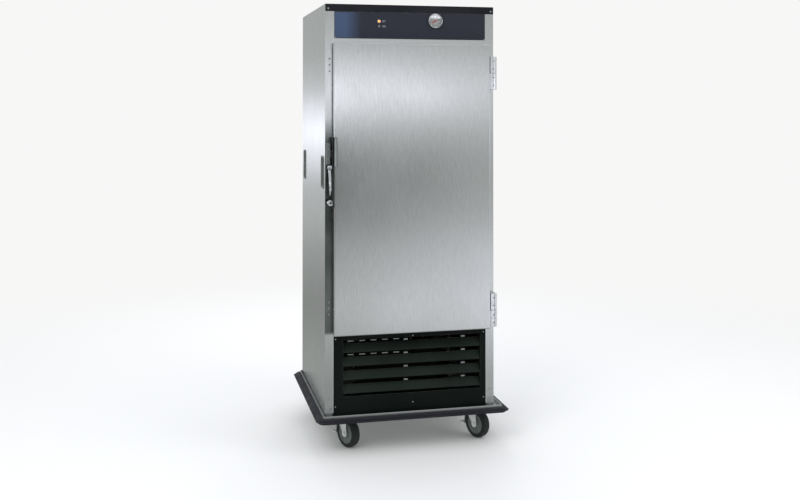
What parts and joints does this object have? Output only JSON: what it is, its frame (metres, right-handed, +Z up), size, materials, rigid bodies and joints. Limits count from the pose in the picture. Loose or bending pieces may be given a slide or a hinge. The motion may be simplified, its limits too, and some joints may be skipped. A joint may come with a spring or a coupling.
{
  "type": "mobile bakery cabinet",
  "caption": "Upright mobile bakery cabinet: insulated stainless body, edge-hinged door with pull latch, control fascia, louvred machine bay, bumper base on swivel casters.",
  "frame": {"origin": "centre of the bounding box on the floor", "axes": "+X to the viewer's right, the door faces -Y, +Z up"},
  "size_m": [0.882, 0.859, 1.99],
  "materials": {
    "stainless": "brushed stainless sheet",
    "door_steel": "brushed stainless sheet, fine vertical grain",
    "trim_black": "black satin trim",
    "fascia_navy": "dark navy overlay, satin",
    "bumper_vinyl": "charcoal extruded vinyl",
    "gland_plastic": "moulded black plastic",
    "grip_casting": "grey painted casting",
    "latch_black": "black enamel",
    "chrome": "polished chrome",
    "needle_red": "red enamel",
    "lamp_amber": "amber lens",
    "aluminium": "mill aluminium",
    "compressor_black": "black enamel over a casting",
    "grille_black": "black powder coat",
    "gasket_grey": "dark grey vinyl seal",
    "zinc": "zinc plated pressing",
    "wheel_rubber": "dark grey rubber"
  },
  "bodies": {
    "cabinet": {"base_tray": "stainless", "bumper": "bumper_vinyl", "side_panel_left": "stainless", "side_panel_right": "stainless", "back_panel": "stainless", "top_panel": "stainless", "front_frame": "stainless", "top_trim": "trim_black", "power_gland": "gland_plastic", "hand_grip_left_front": "grip_casting", "hand_grip_left_rear": "grip_casting", "hand_grip_right_front": "grip_casting", "hand_grip_right_rear": "grip_casting", "control_fascia": "fascia_navy", "dial_case": "chrome", "indicator_lamp": "lamp_amber", "chamber_liner": "stainless", "pan_rack_left": "stainless", "pan_rack_right": "stainless", "air_duct": "stainless", "heater_element": "grip_casting", "water_pan": "stainless", "grille_frame": "grille_black", "louvre_blade_1": "grille_black", "louvre_blade_2": "grille_black", "louvre_blade_3": "grille_black", "louvre_blade_4": "grille_black", "condenser_coil": "aluminium", "fan_shroud": "grille_black", "compressor": "compressor_black", "hinge_upper_frame": "chrome", "hinge_lower_frame": "chrome", "latch_strike": "grip_casting", "caster_plate_front_left": "zinc", "caster_plate_front_right": "zinc", "caster_plate_rear_left": "zinc", "caster_plate_rear_right": "zinc"},
    "door": {"door_skin": "door_steel", "door_liner": "door_steel", "door_gasket": "gasket_grey", "hinge_upper_door": "chrome", "hinge_lower_door": "chrome", "latch_case": "latch_black"},
    "lever": {"latch_lever": "chrome"},
    "lock": {"lock_plug": "chrome"},
    "needle": {"dial_needle": "needle_red"},
    "switch": {"power_switch": "grip_casting"},
    "chamber_fan": {"circulation_fan": "aluminium"},
    "cooling_fan": {"condenser_fan": "aluminium"},
    "fork_front_left": {"caster_fork_front_left": "zinc"},
    "wheel_front_left": {"caster_wheel_front_left": "wheel_rubber"},
    "pedal_front_left": {"brake_pedal_front_left": "zinc"},
    "fork_front_right": {"caster_fork_front_right": "zinc"},
    "wheel_front_right": {"caster_wheel_front_right": "wheel_rubber"},
    "pedal_front_right": {"brake_pedal_front_right": "zinc"},
    "fork_rear_left": {"caster_fork_rear_left": "zinc"},
    "wheel_rear_left": {"caster_wheel_rear_left": "wheel_rubber"},
    "fork_rear_right": {"caster_fork_rear_right": "zinc"},
    "wheel_rear_right": {"caster_wheel_rear_right": "wheel_rubber"}
  },
  "joints": [
    {"name": "door_swing", "type": "hinge", "parent": "cabinet", "child": "door", "pos_m": [0.375, -0.3995, 1.1], "axis": [0, 0, 1], "range_deg": [0, 180]},
    {"name": "latch_pull", "type": "hinge", "parent": "door", "child": "lever", "pos_m": [-0.382, -0.4065, 1.254], "axis": [-1, 0, 0], "range_deg": [0, 28], "stiffness_Nm_per_rad": 0.4},
    {"name": "lock_turn", "type": "hinge", "parent": "door", "child": "lock", "pos_m": [-0.382, -0.4125, 1.115], "axis": [0, 1, 0], "range_deg": [0, 90]},
    {"name": "needle_sweep", "type": "hinge", "parent": "cabinet", "child": "needle", "pos_m": [0.102, -0.3796, 1.922], "axis": [0, 1, 0], "range_deg": [0, 250]},
    {"name": "switch_press", "type": "slide", "parent": "cabinet", "child": "switch", "axis": [0, 1, 0], "range_m": [0, 0.0025], "stiffness_N_per_m": 400},
    {"name": "chamber_fan_spin", "type": "hinge", "parent": "cabinet", "child": "chamber_fan", "pos_m": [-0.011, 0.1135, 1.734], "axis": [0, 0, 1], "continuous": true},
    {"name": "cooling_fan_spin", "type": "hinge", "parent": "cabinet", "child": "cooling_fan", "pos_m": [-0.071, -0.2275, 0.335], "axis": [0, 1, 0], "continuous": true},
    {"name": "swivel_front_left", "type": "hinge", "parent": "cabinet", "child": "fork_front_left", "pos_m": [-0.292, -0.2275, 0.15], "axis": [0, 0, 1], "continuous": true},
    {"name": "roll_front_left", "type": "hinge", "parent": "fork_front_left", "child": "wheel_front_left", "pos_m": [-0.27412, -0.26103, 0.0635], "axis": [0.8823, 0.4706, 0], "continuous": true},
    {"name": "brake_front_left", "type": "hinge", "parent": "fork_front_left", "child": "pedal_front_left", "pos_m": [-0.30894, -0.19574, 0.124], "axis": [-0.8823, -0.4706, 0], "range_deg": [0, 5]},
    {"name": "swivel_front_right", "type": "hinge", "parent": "cabinet", "child": "fork_front_right", "pos_m": [0.317, -0.2275, 0.15], "axis": [0, 0, 1], "continuous": true},
    {"name": "roll_front_right", "type": "hinge", "parent": "fork_front_right", "child": "wheel_front_right", "pos_m": [0.33488, -0.26103, 0.0635], "axis": [0.8823, 0.4706, 0], "continuous": true},
    {"name": "brake_front_right", "type": "hinge", "parent": "fork_front_right", "child": "pedal_front_right", "pos_m": [0.30006, -0.19574, 0.124], "axis": [-0.8823, -0.4706, 0], "range_deg": [0, 5]},
    {"name": "swivel_rear_left", "type": "hinge", "parent": "cabinet", "child": "fork_rear_left", "pos_m": [-0.292, 0.3035, 0.15], "axis": [0, 0, 1], "continuous": true},
    {"name": "roll_rear_left", "type": "hinge", "parent": "fork_rear_left", "child": "wheel_rear_left", "pos_m": [-0.2826, 0.26668, 0.0635], "axis": [0.9689, 0.2474, 0], "continuous": true},
    {"name": "swivel_rear_right", "type": "hinge", "parent": "cabinet", "child": "fork_rear_right", "pos_m": [0.317, 0.3035, 0.15], "axis": [0, 0, 1], "continuous": true},
    {"name": "roll_rear_right", "type": "hinge", "parent": "fork_rear_right", "child": "wheel_rear_right", "pos_m": [0.34148, 0.27444, 0.0635], "axis": [0.7648, 0.6442, 0], "continuous": true}
  ]
}
